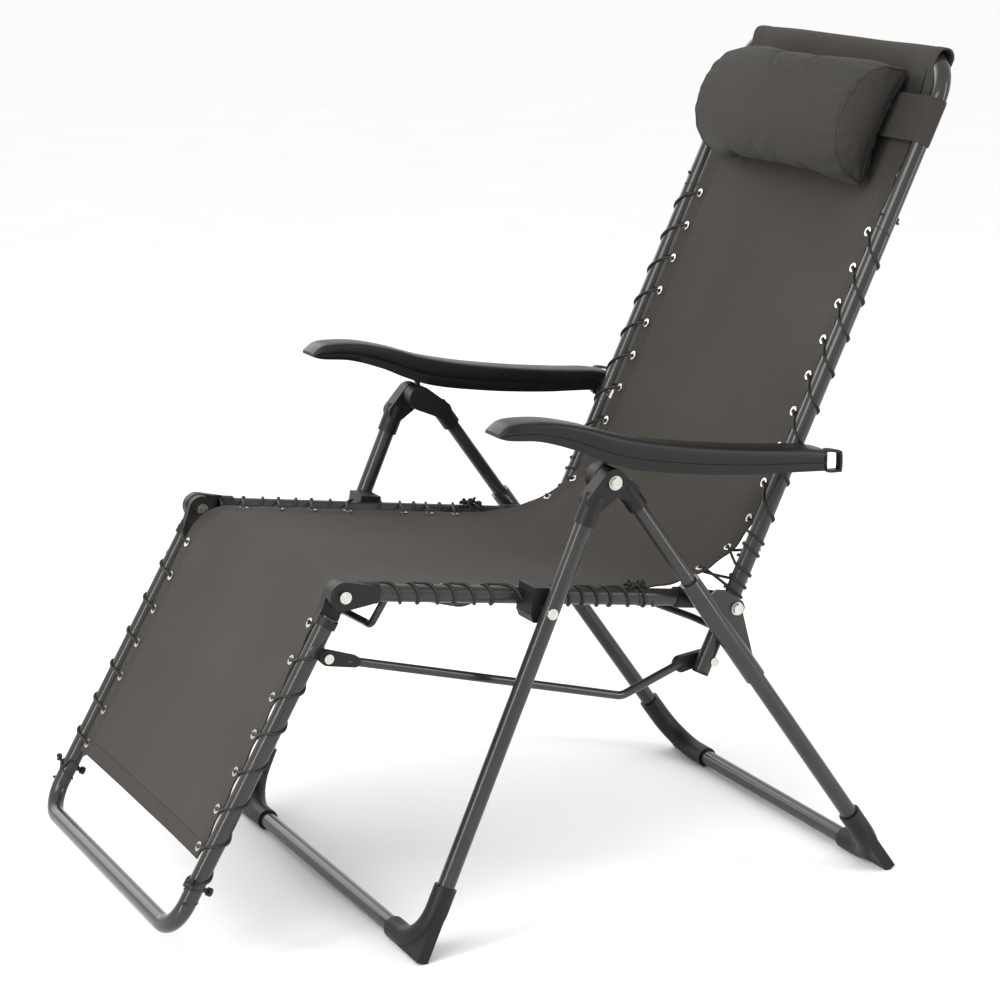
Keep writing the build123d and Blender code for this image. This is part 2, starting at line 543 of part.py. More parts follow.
save_both(loops(seat_eyes, SEAT_ANGLE, -3.0), "seat_cords")
save_both(loops(back_eyes, BACK_ANGLE, 0.0), "back_cords")
save_both(loops(foot_eyes, FOOT_ANGLE, 4.0), "foot_cords")

# ---------------------------------------------------------------- pillow and its strap
PILLOW_HALF = 192.0
pillow_outline = [toward(HIP, BACK_ANGLE, 566.0, 3.0), toward(HIP, BACK_ANGLE, 722.0, 3.0),
      toward(HIP, BACK_ANGLE, 733.0, 26.0), toward(HIP, BACK_ANGLE, 718.0, 66.0),
      toward(HIP, BACK_ANGLE, 680.0, 92.0), toward(HIP, BACK_ANGLE, 630.0, 96.0),
      toward(HIP, BACK_ANGLE, 585.0, 78.0), toward(HIP, BACK_ANGLE, 560.0, 40.0)]
pillow_face = make_face([Line(*pillow_outline[:2]), Spline(*pillow_outline[1:], pillow_outline[0])])
pillow_plane = Plane(origin=(-PILLOW_HALF, 0, 0), x_dir=(0, 1, 0), z_dir=(1, 0, 0))
pillow = extrude(pillow_plane * pillow_face, 2 * PILLOW_HALF)
save(pillow, "pillow")
# Elastic strap of the pillow: a flat band round both back rails behind the sling.
STRAP_W = 62.0
STRAP_S = 668.0
hold = None
for side in (1, -1):
    ring_a = toward(HIP, BACK_ANGLE, STRAP_S - STRAP_W / 2.0)
    ring_b = toward(HIP, BACK_ANGLE, STRAP_S + STRAP_W / 2.0)
    shell = cyl(v(side * RAIL_X, ring_a), v(side * RAIL_X, ring_b), TUBE_R + 1.8, TUBE_R + 0.3)
    hold = shell if hold is None else hold + shell
save(Compound(children=hold.solids()), "pillow_strap")
print("parts written")
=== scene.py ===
import json
import math

import bmesh
import bpy
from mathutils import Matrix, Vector, noise
from mathutils.bvhtree import BVHTree


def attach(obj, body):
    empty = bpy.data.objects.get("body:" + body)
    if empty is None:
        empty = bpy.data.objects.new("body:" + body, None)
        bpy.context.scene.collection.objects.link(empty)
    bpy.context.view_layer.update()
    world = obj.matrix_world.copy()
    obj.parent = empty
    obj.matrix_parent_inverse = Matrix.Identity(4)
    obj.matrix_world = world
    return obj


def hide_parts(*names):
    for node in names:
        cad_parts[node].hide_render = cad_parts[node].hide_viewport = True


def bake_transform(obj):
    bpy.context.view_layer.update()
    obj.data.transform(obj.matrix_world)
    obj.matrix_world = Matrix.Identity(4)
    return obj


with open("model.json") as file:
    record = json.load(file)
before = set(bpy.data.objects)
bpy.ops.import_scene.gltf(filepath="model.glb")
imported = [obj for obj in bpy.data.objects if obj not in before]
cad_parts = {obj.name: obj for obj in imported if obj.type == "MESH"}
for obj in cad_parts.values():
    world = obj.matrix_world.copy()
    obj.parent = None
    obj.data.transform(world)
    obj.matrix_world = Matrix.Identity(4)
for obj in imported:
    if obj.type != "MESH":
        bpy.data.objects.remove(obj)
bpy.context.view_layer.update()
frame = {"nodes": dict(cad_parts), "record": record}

# Metres, +Z up, the sitter faces -Y. A profile point is (y, z); a station on a panel is
# s along it, n to its front or upper side, and x across the chair.
Y_SHIFT = 0.03265
RAIL_X = 0.250
TUBE_R = 0.011
EYELET_X = 0.219
SLING_X = 0.229
CLOTH_T = 0.0012
HEM_W = 0.0205
CORD_R = 0.0019
BACK_ANGLE = 64.9
FOOT_ANGLE = 240.5
BACK_TOP = 0.755
PITCH = 0.050
SIDES = ((1, "left"), (-1, "right"))


def yz(y, z):
    return (y + Y_SHIFT, z)


def toward(p, angle, dist, side=0.0):
    """Profile point at dist along angle from p, and side to the left of that line."""
    a = math.radians(angle)
    return (p[0] + dist * math.cos(a) - side * math.sin(a),
            p[1] + dist * math.sin(a) + side * math.cos(a))


def angle_of(p, q):
    return math.degrees(math.atan2(q[1] - p[1], q[0] - p[0]))


KNEE = yz(-0.3510, 0.4620)
HIP = yz(0.1860, 0.3850)
SEAT_FRONT = yz(-0.3572, 0.4659)
SEAT_REAR = yz(0.1932, 0.3926)
SEAT_ANGLE = angle_of(SEAT_FRONT, SEAT_REAR)
SEAT_N = 0.003
FOOT_N = -0.004


def seat_at(s, n=0.0):
    return toward(SEAT_FRONT, SEAT_ANGLE, s, n)


def back_at(s, n=0.0):
    return toward(HIP, BACK_ANGLE, s, n)


def foot_at(s, n=0.0):
    return toward(KNEE, FOOT_ANGLE, s, n)


def point(x, p):
    return Vector((x, p[0], p[1]))


# ---------------------------------------------------------------- camera, light and floor
def aim(obj, target):
    direction = Vector(target) - obj.location
    obj.rotation_euler = direction.to_track_quat("-Z", "Y").to_euler()


def make_camera():
    data = bpy.data.cameras.new("camera")
    cam = bpy.data.objects.new("camera", data)
    bpy.context.scene.collection.objects.link(cam)
    azimuth = math.radians(64.131)
    elevation = math.radians(12.771)
    back = Vector((math.sin(azimuth) * math.cos(elevation),
                   -math.cos(azimuth) * math.cos(elevation), math.sin(elevation)))
    target = Vector((0.0, Y_SHIFT, 0.53055))
    cam.location = target + back * 3.77149
    aim(cam, target)
    data.sensor_width = 36.0
    data.lens = 102.78
    data.shift_x = -0.01285
    data.shift_y = -0.03107
    data.dof.use_dof = False
    bpy.context.scene.camera = cam


def area_light(name, place, target, size, power):
    data = bpy.data.lights.new(name, "AREA")
    data.shape = "RECTANGLE"
    data.size = size[0]
    data.size_y = size[1]
    data.energy = power
    lamp = bpy.data.objects.new(name, data)
    lamp.location = place
    bpy.context.scene.collection.objects.link(lamp)
    aim(lamp, target)


def make_studio():
    world = bpy.data.worlds.new("studio")
    world.use_nodes = True
    bpy.context.scene.world = world
    shade = world.node_tree.nodes["Background"]
    shade.inputs["Color"].default_value = (1.0, 1.0, 1.0, 1.0)
    shade.inputs["Strength"].default_value = 1.02
    centre = (0.0, 0.0, 0.5)
    area_light("key", (1.6, -2.6, 2.9), centre, (2.4, 1.6), 80.0)
    area_light("strip_front", (1.2, -3.4, 0.9), centre, (0.35, 3.0), 60.0)
    area_light("strip_rear", (2.6, 2.6, 1.4), centre, (0.35, 2.8), 45.0)
    area_light("fill", (-3.2, -0.6, 2.0), centre, (2.5, 2.5), 40.0)
    bpy.context.scene.view_settings.view_transform = "Standard"


def make_floor(material):
    half = 30.0
    level = -0.0006
    mesh = bpy.data.meshes.new("studio_floor")
    corners = [(-half, -half, level), (half, -half, level), (half, half, level), (-half, half, level)]
    mesh.from_pydata(corners, [], [(0, 1, 2, 3)])
    floor = bpy.data.objects.new("studio_floor", mesh)
    bpy.context.scene.collection.objects.link(floor)
    mesh.materials.append(material)


# ---------------------------------------------------------------- materials
def shaded(colour, k):
    return (colour[0] * k, colour[1] * k, colour[2] * k, 1.0)


class Shader:
    """A Principled material and short calls for the nodes that feed it."""

    def __init__(self, name):
        self.material = bpy.data.materials.new(name)
        self.material.use_nodes = True
        self.tree = self.material.node_tree
        self.bsdf = self.tree.nodes["Principled BSDF"]
        self.coords = self.tree.nodes.new("ShaderNodeTexCoord")
        self.last_bump = None

    def link(self, a, b):
        self.tree.links.new(a, b)

    def set(self, **values):
        for name, value in values.items():
            self.bsdf.inputs[name.replace("_", " ")].default_value = value

    def noise(self, scale, detail=3.0, roughness=0.55, source="Object", stretch=None):
        n = self.tree.nodes.new("ShaderNodeTexNoise")
        n.inputs["Scale"].default_value = scale
        n.inputs["Detail"].default_value = detail
        n.inputs["Roughness"].default_value = roughness
        vector = self.coords.outputs[source]
        if stretch:
            m = self.tree.nodes.new("ShaderNodeMapping")
            m.inputs["Scale"].default_value = stretch
            self.link(vector, m.inputs["Vector"])
            vector = m.outputs["Vector"]
        self.link(vector, n.inputs["Vector"])
        return n.outputs["Fac"]

    def math(self, operation, a, b=None, c=None):
        m = self.tree.nodes.new("ShaderNodeMath")
        m.operation = operation
        for socket, value in zip(m.inputs, (a, b, c)):
            if value is None:
                continue
            if isinstance(value, (int, float)):
                socket.default_value = value
            else:
                self.link(value, socket)
        return m.outputs["Value"]

    def axis(self, source, name):
        s = self.tree.nodes.new("ShaderNodeSeparateXYZ")
        self.link(self.coords.outputs[source], s.inputs["Vector"])
        return s.outputs[name]

    def ramp(self, source, *stops):
        r = self.tree.nodes.new("ShaderNodeValToRGB")
        elements = r.color_ramp.elements
        for e, (pos, colour) in zip(elements, (stops[0], stops[-1])):
            e.position = pos
            e.color = colour
        for pos, colour in stops[1:-1]:
            e = elements.new(pos)
            e.color = colour
        self.link(source, r.inputs["Fac"])
        return r.outputs["Color"]

    def mix(self, factor, a, b, blend="MIX"):
        m = self.tree.nodes.new("ShaderNodeMix")
        m.data_type = "RGBA"
        m.blend_type = blend
        for index, value in ((0, factor), (6, a), (7, b)):
            if isinstance(value, (int, float, tuple)):
                m.inputs[index].default_value = value
            else:
                self.link(value, m.inputs[index])
        return m.outputs[2]

    def base(self, colour):
        self.link(colour, self.bsdf.inputs["Base Color"])

    def rough(self, value):
        self.link(value, self.bsdf.inputs["Roughness"])

    def bump(self, height, strength, distance):
        b = self.tree.nodes.new("ShaderNodeBump")
        b.inputs["Strength"].default_value = strength
        b.inputs["Distance"].default_value = distance
        self.link(height, b.inputs["Height"])
        if self.last_bump:
            self.link(self.last_bump, b.inputs["Normal"])
        self.last_bump = b.outputs["Normal"]
        self.link(self.last_bump, self.bsdf.inputs["Normal"])


def grey(v):
    return (v, v, v, 1.0)


def painted_steel():
    """Anthracite powder coat: fine orange peel and faintly rubbed patches."""
    s = Shader("painted_steel")
    colour = (0.019, 0.019, 0.0175)
    patches = s.noise(18.0, 5.0)
    s.base(s.ramp(patches, (0.3, shaded(colour, 0.82)), (0.7, shaded(colour, 1.18))))
    s.rough(s.ramp(patches, (0.25, grey(0.24)), (0.75, grey(0.36))))
    s.set(Specular_IOR_Level=0.22, Coat_Weight=0.4, Coat_Roughness=0.06)
    s.bump(s.noise(700.0, 2.0), 0.08, 0.0002)
    return s.material


def moulded_plastic(name, colour, low, high):
    """Black nylon with a fine spark-eroded grain and scuffed patches."""
    s = Shader(name)
    scuffs = s.noise(42.0, 6.0, 0.65)
    s.base(s.ramp(scuffs, (0.3, shaded(colour, 0.8)), (0.62, shaded(colour, 1.1)), (0.85, shaded(colour, 1.9))))
    s.set(Specular_IOR_Level=0.28)
    s.rough(s.ramp(scuffs, (0.2, grey(low)), (0.8, grey(high))))
    s.bump(s.noise(1300.0, 2.0), 0.22, 0.0003)
    return s.material


def bright_zinc():
    s = Shader("bright_zinc")
    clouds = s.noise(160.0, 4.0)
    s.base(s.ramp(clouds, (0.3, (0.46, 0.45, 0.42, 1.0)), (0.7, (0.62, 0.60, 0.57, 1.0))))
    s.rough(s.ramp(clouds, (0.3, grey(0.18)), (0.7, grey(0.34))))
    s.set(Metallic=1.0)
    s.bump(s.noise(2200.0, 2.0), 0.15, 0.0001)
    return s.material


def elastic_cord(name):
    """Black textile sleeve with the fine uneven grain of a braid."""
    s = Shader(name)
    braid = s.noise(1700.0, 2.0, 0.6)
    s.base(s.ramp(braid, (0.35, (0.006, 0.006, 0.006, 1.0)), (0.7, (0.030, 0.029, 0.028, 1.0))))
    s.set(Roughness=0.58, Specular_IOR_Level=0.3)
    s.bump(braid, 0.5, 0.0004)
    return s.material


def woven_fabric(name, colour, source, across, along, hem=False):
    """Tight plain weave of warm grey yarn; the sling has rubbed, stitched and browner hems."""
    s = Shader(name)
    yarn_pair = 0.00125
    stitch_length = 0.004
    thread = 2.0 * math.pi / yarn_pair
    warp = s.math("SINE", s.math("MULTIPLY", s.axis(source, across), thread))
    weft = s.math("SINE", s.math("MULTIPLY", s.axis(source, along), thread))
    weave = s.math("MULTIPLY_ADD", s.math("MULTIPLY", warp, weft), 0.5, 0.5)
    clouds = s.noise(5.0, 6.0, 0.62)
    slubs = s.noise(60.0, 3.0, 0.6, source, (1.0, 14.0, 1.0))
    cloth = s.ramp(clouds, (0.25, shaded(colour, 0.88)), (0.75, shaded(colour, 1.12)))
    cloth = s.mix(1.0, cloth, s.ramp(slubs, (0.3, grey(0.90)), (0.7, grey(1.0))), "MULTIPLY")
    cloth = s.mix(1.0, cloth, s.ramp(weave, (0.0, grey(0.74)), (1.0, grey(1.0))), "MULTIPLY")
    if hem:
        edge = s.math("SUBTRACT", SLING_X, s.math("ABSOLUTE", s.axis(source, across)))
        edge = s.math("MINIMUM", edge, s.axis(source, along))
        near_edge = s.math("LESS_THAN", edge, HEM_W + 0.0005)
        brown = shaded((0.038, 0.031, 0.026), 0.9)
        cloth = s.mix(s.math("MULTIPLY", near_edge, 0.55), cloth, brown)
        seam = s.math("LESS_THAN", s.math("ABSOLUTE", s.math("SUBTRACT", edge, HEM_W)), 0.0007)
        dash = s.math("GREATER_THAN", s.math("SINE", s.math("MULTIPLY", s.axis(source, along),
                                                            2.0 * math.pi / stitch_length)), -0.3)
        stitch = s.math("MULTIPLY", seam, dash)
        cloth = s.mix(stitch, cloth, (0.022, 0.020, 0.018, 1.0))
        s.bump(stitch, 0.6, 0.0008)
    s.base(cloth)
    s.set(Roughness=0.85, Specular_IOR_Level=0.2, Sheen_Weight=0.05, Sheen_Roughness=0.4)
    s.bump(s.noise(26.0, 3.0), 0.10, 0.002)
    s.bump(weave, 0.45, 0.0004)
    return s.material


def pale_floor():
    s = Shader("pale_floor")
    s.base(s.ramp(s.noise(3.0), (0.3, grey(0.93)), (0.7, grey(0.95))))
    s.set(Roughness=0.9)
    return s.material


FABRIC_COLOUR = (0.048, 0.0420, 0.0355)
STEEL = painted_steel()
PLASTIC = moulded_plastic("black_nylon", (0.0055, 0.0055, 0.0052), 0.40, 0.55)
ARM = moulded_plastic("black_arm_plastic", (0.0050, 0.0052, 0.0049), 0.30, 0.44)
ZINC = bright_zinc()
CORD = elastic_cord("elastic_cord")
SLING = woven_fabric("sling_weave", FABRIC_COLOUR, "UV", "X", "Y", hem=True)
PILLOW = woven_fabric("pillow_weave", (0.038, 0.0345, 0.0300), "Object", "X", "Z")
# Dark cord material for the pillow piping; on the black sleeve patches beside the pillow it is painted shade.
PIPING_AND_SHADE_PATCH = elastic_cord("dark_piping_and_shade_patch")
FLOOR = pale_floor()
FINISH = {"frame_tube": STEEL, "black_plastic": PLASTIC, "arm_plastic": ARM, "sling_fabric": SLING,
          "pillow_fabric": PILLOW, "elastic_cord": CORD, "zinc": ZINC}


def finish_cad_nodes():
    for part in frame["record"]["subparts"]:
        obj = frame["nodes"][part["node"]]
        for s in obj.material_slots:
            s.material = FINISH[part["material_slot"]]


# ---------------------------------------------------------------- mesh helpers
def new_piece(name, mesh, material, smooth_angle=None):
    piece = bpy.data.objects.new(name, mesh)
    bpy.context.scene.collection.objects.link(piece)
    mesh.materials.append(material)
    mesh.polygons.foreach_set("use_smooth", [True] * len(mesh.polygons))
    if smooth_angle is not None:
        mesh.set_sharp_from_angle(angle=math.radians(smooth_angle))
    return piece


def shell(name, rows, uvs=None, closed=False, caps=False):
    """Quads through rows of points; closed joins each row's ends, caps fill the first and last row."""
    mesh = bpy.data.meshes.new(name)
    n = len(rows[0])
    faces = []
    for i in range(len(rows) - 1):
        for j in range(n if closed else n - 1):
            k = (j + 1) % n
            faces.append((i * n + j, i * n + k, (i + 1) * n + k, (i + 1) * n + j))
    if caps:
        faces.append(tuple(reversed(range(n))))
        faces.append(tuple(range((len(rows) - 1) * n, len(rows) * n)))
    mesh.from_pydata([p for row in rows for p in row], [], faces)
    if uvs:
        flat = [uv for row in uvs for uv in row]
        layer = mesh.uv_layers.new(name="UVMap")
        for item in mesh.loops:
            layer.data[item.index].uv = flat[item.vertex_index]
    fix = bmesh.new()
    fix.from_mesh(mesh)
    bmesh.ops.recalc_face_normals(fix, faces=fix.faces)
    fix.to_mesh(mesh)
    fix.free()
    return mesh


def apply_modifiers(piece):
    graph = bpy.context.evaluated_depsgraph_get()
    done = bpy.data.meshes.new_from_object(piece.evaluated_get(graph))
    piece.modifiers.clear()
    piece.data = done


def cord_piece(name, routes, radius, material):
    """One curve piece with a smooth round strand along each route."""
    data = bpy.data.curves.new(name, "CURVE")
    data.dimensions = "3D"
    data.resolution_u = 4
    data.bevel_depth = radius
    data.bevel_resolution = 2
    data.use_fill_caps = True
    for route in routes:
        line = data.splines.new("NURBS")
        line.points.add(len(route) - 1)
        for p, q in zip(line.points, route):
            p.co = (q[0], q[1], q[2], 1.0)
        line.order_u = 3
        line.use_endpoint_u = True
    piece = bpy.data.objects.new(name, data)
    bpy.context.scene.collection.objects.link(piece)
    data.materials.append(material)
    graph = bpy.context.evaluated_depsgraph_get()
    mesh = bpy.data.meshes.new_from_object(piece.evaluated_get(graph))
    bpy.data.objects.remove(piece)
    mesh.materials.clear()
    return new_piece(name, mesh, material)


# ---------------------------------------------------------------- sling
def bend_line(p, a0, q, a1, count, pull=1.0):
    """Smooth curve from p heading a0 to q heading a1."""
    d = math.dist(p, q) * pull
    t0 = toward((0.0, 0.0), a0, d)
    t1 = toward((0.0, 0.0), a1, d)
    line = []
    for i in range(count + 1):
        t = i / count
        h = (2 * t ** 3 - 3 * t ** 2 + 1, t ** 3 - 2 * t ** 2 + t, 3 * t ** 2 - 2 * t ** 3, t ** 3 - t ** 2)
        line.append(tuple(h[0] * p[k] + h[1] * t0[k] + h[2] * q[k] + h[3] * t1[k] for k in (0, 1)))
    return line


def even(line, step):
    """The same line with points at equal steps."""
    lengths = [0.0]
    for a, b in zip(line, line[1:]):
        lengths.append(lengths[-1] + math.dist(a, b))
    count = max(2, round(lengths[-1] / step))
    result = []
    k = 0
    for i in range(count + 1):
        s = lengths[-1] * i / count
        while k < len(line) - 2 and lengths[k + 1] < s:
            k += 1
        t = (s - lengths[k]) / (lengths[k + 1] - lengths[k])
        result.append(tuple(line[k][j] + (line[k + 1][j] - line[k][j]) * t for j in (0, 1)))
    return result


STEP = 0.005
FOOT_HEM = 0.361
SEAT_SPLIT = 0.205
SLEEVE_R = TUBE_R + 0.0016
KNEE_HALF = 12
HIP_HALF = 20
knee_curve = bend_line(foot_at(0.034, FOOT_N), FOOT_ANGLE - 180.0, seat_at(0.040, SEAT_N), SEAT_ANGLE, 2 * KNEE_HALF)
hip_curve = bend_line(seat_at(0.385, SEAT_N), SEAT_ANGLE, back_at(0.125), BACK_ANGLE, 2 * HIP_HALF, 1.12)
sleeve_line = [back_at(0.700), back_at(0.728, 0.006), back_at(0.748, SLEEVE_R - 0.001)]
for step_angle in range(0, 181, 15):
    turn = math.radians(step_angle)
    sleeve_line.append(back_at(BACK_TOP + SLEEVE_R * math.sin(turn), SLEEVE_R * math.cos(turn)))
sleeve_line += [back_at(0.730, -0.0105), back_at(0.708, -0.006), back_at(0.692, -0.0032), back_at(0.684, -0.0028)]
SECTIONS = (
    ("cloth_foot", [foot_at(FOOT_HEM, FOOT_N)] + knee_curve[:KNEE_HALF + 1]),
    ("cloth_seat_front", knee_curve[KNEE_HALF:] + [seat_at(SEAT_SPLIT, SEAT_N)]),
    ("cloth_seat_rear", [seat_at(SEAT_SPLIT, SEAT_N)] + hip_curve[:HIP_HALF + 1]),
    ("cloth_back", hip_curve[HIP_HALF:] + sleeve_line),
)
COLUMNS = 64


def sag_at(s):
    """How far the middle of the cloth hangs behind its edges, along its length."""
    stations = ((0.0, 0.003), (0.20, 0.006), (0.36, 0.004), (0.58, 0.012), (0.79, 0.003), (0.88, 0.003),
                (1.12, 0.014), (1.45, 0.007), (1.60, 0.0), (3.0, 0.0))
    for (s0, d0), (s1, d1) in zip(stations, stations[1:]):
        if s <= s1:
            t = (s - s0) / (s1 - s0)
            t = t * t * (3 - 2 * t)
            return d0 + (d1 - d0) * t
    return 0.0


def cloth_rows(line, start):
    """Upper and lower points and UVs of a stretch of cloth, row by row along the whole sling's line."""
    upper, lower, uvs = [], [], []
    s = start
    for i, p in enumerate(line):
        if i:
            s += math.dist(line[i - 1], p)
        row_u, row_l, row_uv = [], [], []
        tangent = profile_angle(s)
        for j in range(COLUMNS + 1):
            u = -1.0 + 2.0 * j / COLUMNS
            u = math.copysign(1.0 - (1.0 - abs(u)) ** 1.25, u)
            x = u * SLING_X
            edge = SLING_X - abs(x)
            pull = math.cos(2.0 * math.pi * s / PITCH)
            drop = sag_at(s) * (1.0 - abs(u) ** 2.4)
            lift = 0.0007 * pull * math.exp(-edge / 0.022)
            calm = min(1.0, max(0.0, edge - 0.03) / 0.08)
            lift += 0.0022 * calm * noise.noise(Vector((x * 7.0, s * 4.0, 3.7)))
            scallop = 0.0011 * (pull - 1.0) * math.exp(-edge / 0.006)
            hem = 0.0005 if edge < HEM_W else 0.0
            mid = toward(p, tangent, 0.0, lift - drop)
            half = CLOTH_T / 2.0 + hem
            xs = x + math.copysign(scallop, x) if x else 0.0
            row_u.append(point(xs, toward(mid, tangent, 0.0, half)))
            row_l.append(point(xs, toward(mid, tangent, 0.0, -half)))
            row_uv.append((x, s))
        upper.append(row_u)
        lower.append(row_l)
        uvs.append(row_uv)
    return upper, lower, uvs


def whole_line():
    """Length and point along the sling from foot hem to sleeve end."""
    stations = []
    s = 0.0
    last = None
    for _, section in SECTIONS:
        for p in even(section, STEP):
            if last is not None:
                d = math.dist(last, p)
                if d < 1e-7:
                    continue
                s += d
            stations.append((s, p))
            last = p
    return stations


STATIONS = whole_line()


def profile_angle(s):
    """Heading of the sling's line at length s from the foot hem."""
    for i, (t, p) in enumerate(STATIONS):
        if t >= s - 1e-6:
            a = STATIONS[max(0, i - 1)][1]
            b = STATIONS[min(len(STATIONS) - 1, i + 1)][1]
            return angle_of(a, b)
    return angle_of(STATIONS[-2][1], STATIONS[-1][1])


def cloth_piece(name, section, start):
    line = even(section, STEP)
    upper, lower, uvs = cloth_rows(line, start)
    rows = [u + list(reversed(l)) for u, l in zip(upper, lower)]
    ring_uvs = [w + list(reversed(w)) for w in uvs]
    mesh = shell(name, rows, ring_uvs, closed=True, caps=True)
    piece = new_piece(name, mesh, SLING, smooth_angle=50)
    length = sum(math.dist(a, b) for a, b in zip(line, line[1:]))
    return piece, length


def make_sling():
    start = 0.0
    cloth = {}
    for name, section in SECTIONS:
        piece, length = cloth_piece(name, section, start)
        cloth[name] = piece
        start += length
    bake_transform(cloth["cloth_foot"])
    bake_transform(cloth["cloth_seat_front"])
    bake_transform(cloth["cloth_seat_rear"])
    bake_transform(cloth["cloth_back"])
    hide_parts("sling_foot")
    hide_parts("sling_seat")
    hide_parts("sling_back", "sling_top_sleeve")


# ---------------------------------------------------------------- lacing
WRAP_R = TUBE_R + CORD_R + 0.0003


ONE_TURN = ((50, 0.20), (90, 0.40), (135, 0.56), (180, 0.68), (225, 0.77), (270, 0.86), (305, 0.94))
TWO_TURNS = ((55, 0.10), (90, 0.20), (135, 0.30), (180, 0.38), (225, 0.44), (270, 0.50), (315, 0.56), (360, 0.62),
             (405, 0.68), (450, 0.74), (495, 0.80), (540, 0.86), (585, 0.90), (630, 0.94), (660, 0.97))
END_TURN_STEP = 0.0042


def strand(side, at, eyes, cloth_n, turns, fall, first=None, last=None):
    """Lacing along one rail: through each eyelet, over the front of the rail and round it.

    at(s, n) is the panel's profile point; turns lists the angle round the rail and the share of the
    way to the next eyelet; fall is +1 where the lacing runs towards larger s; first and last are
    where the strand is wound on to the rail at its ends."""
    route = []

    def add(x, s, n):
        route.append(point(side * x, at(s, n)))

    def around(degrees, s):
        turn = math.radians(degrees)
        add(RAIL_X - WRAP_R * math.cos(turn), s, WRAP_R * math.sin(turn))

    if first is not None:
        for k in range(9):
            around(90 + 90 * k, first + fall * END_TURN_STEP * k)
    for i, s in enumerate(eyes):
        add(EYELET_X + 0.006, s - fall * 0.002, cloth_n - 0.0050)
        add(EYELET_X - 0.0004, s, cloth_n - 0.0030)
        add(EYELET_X - 0.0004, s, cloth_n + 0.0030)
        add(EYELET_X + 0.008, s + fall * 0.002, cloth_n + 0.0056)
        gap = (eyes[i + 1] - s) * fall if i + 1 < len(eyes) else PITCH
        if i + 1 == len(eyes) and last is None:
            break
        for degrees, part in turns:
            around(degrees, s + fall * gap * part)
    if last is not None:
        for k in range(9):
            around(315 + 80 * k, last + fall * END_TURN_STEP * k)
    return route


def knot(centre, size, axis):
    """Overhand knot: a trefoil of cord."""
    turn = Vector((0, 0, 1)).rotation_difference(Vector(axis).normalized()).to_matrix()
    route = []
    for k in range(37):
        t = 2.0 * math.pi * k / 36.0
        p = Vector((math.sin(t) + 2.0 * math.sin(2.0 * t), math.cos(t) - 2.0 * math.cos(2.0 * t),
                    -1.3 * math.sin(3.0 * t))) * size / 3.0
        route.append(Vector(centre) + turn @ p)
    return route


SEAT_EYES = [0.060, 0.112, 0.160, 0.212, 0.296, 0.336, 0.376]
BACK_EYES = [0.112 + PITCH * i for i in range(9)]
FOOT_EYES = [0.048 + PITCH * i for i in range(7)]


def lacing_piece(name, routes, body, node):
    piece = cord_piece(name, routes, CORD_R, CORD)
    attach(piece, body)
    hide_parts(node)


def make_lacing():
    for side, word in SIDES:
        back = strand(side, back_at, list(reversed(BACK_EYES)), 0.0, ONE_TURN, -1, first=0.536)
        back_knot = knot(point(side * (RAIL_X - 0.004), back_at(0.536, -0.015)), 0.0042, (0, 1, 0))
        lacing_piece(f"back_lacing_{word}", [back, back_knot], "backrest", "back_cords")

        seat = strand(side, seat_at, SEAT_EYES, SEAT_N, TWO_TURNS, 1, last=0.400)
        seat_knots = [knot(point(side * (RAIL_X + x), seat_at(s, n)), size, axis) for x, s, n, size, axis in (
            (-0.004, 0.402, 0.015, 0.0062, (0.3, 0.2, 1.0)), (-0.001, 0.416, 0.016, 0.0060, (1.0, 0.3, 0.1)),
            (-0.008, 0.424, 0.013, 0.0052, (0.2, 1.0, 0.4)))]
        lacing_piece(f"seat_lacing_{word}", [seat] + seat_knots, "seat_frame", "seat_cords")

        foot = strand(side, foot_at, FOOT_EYES, FOOT_N, ONE_TURN, 1, last=0.379)
        foot_knot = knot(point(side * (RAIL_X + 0.011), foot_at(0.386, -0.014)), 0.0042, (0, 1, 0))
        lacing_piece(f"foot_lacing_{word}", [foot, foot_knot], "footrest", "foot_cords")


def hip_near(s, n):
    """Point and heading of the cloth's round corner nearest to a station of the back."""
    target = back_at(s, n)
    k = min(range(1, len(hip_curve) - 1), key=lambda i: math.dist(hip_curve[i], target))
    return hip_curve[k], angle_of(hip_curve[k - 1], hip_curve[k + 1])


def eyelet_mesh(name, centres):
    """Pressed eyelets: each a rolled ring with a flange on both faces."""
    build = bmesh.new()
    profile = [(0.0031, -0.0012), (0.0031, 0.0012), (0.0040, 0.0019), (0.0053, 0.0017), (0.0063, 0.0009),
               (0.0063, 0.0006), (0.0040, 0.0006), (0.0040, -0.0006), (0.0063, -0.0006), (0.0063, -0.0009),
               (0.0053, -0.0017), (0.0040, -0.0019)]
    count = 20
    for x, p, heading in centres:
        up = point(0.0, toward((0.0, 0.0), heading, 0.0, 1.0))
        along = point(0.0, toward((0.0, 0.0), heading, 1.0))
        rings = []
        for i in range(count):
            turn = 2.0 * math.pi * i / count
            out = Vector((1, 0, 0)) * math.cos(turn) + along * math.sin(turn)
            rings.append([build.verts.new(point(x, p) + out * r + up * h) for r, h in profile])
        for i in range(count):
            for j in range(len(profile)):
                k = (j + 1) % len(profile)
                build.faces.new((rings[i][j], rings[i][k], rings[(i + 1) % count][k], rings[(i + 1) % count][j]))
    bmesh.ops.recalc_face_normals(build, faces=build.faces)
    mesh = bpy.data.meshes.new(name)
    build.to_mesh(mesh)
    build.free()
    return new_piece(name, mesh, ZINC, smooth_angle=60)


CORNER_EYES = ((0.066, 0.0165), (0.027, 0.0395))
CORNER_WRAPS = (0.080, 0.036, 0.006)
EYELET_PASS = ((0.004, -0.005), (0.0, -0.002), (0.0, 0.003), (0.005, 0.005))


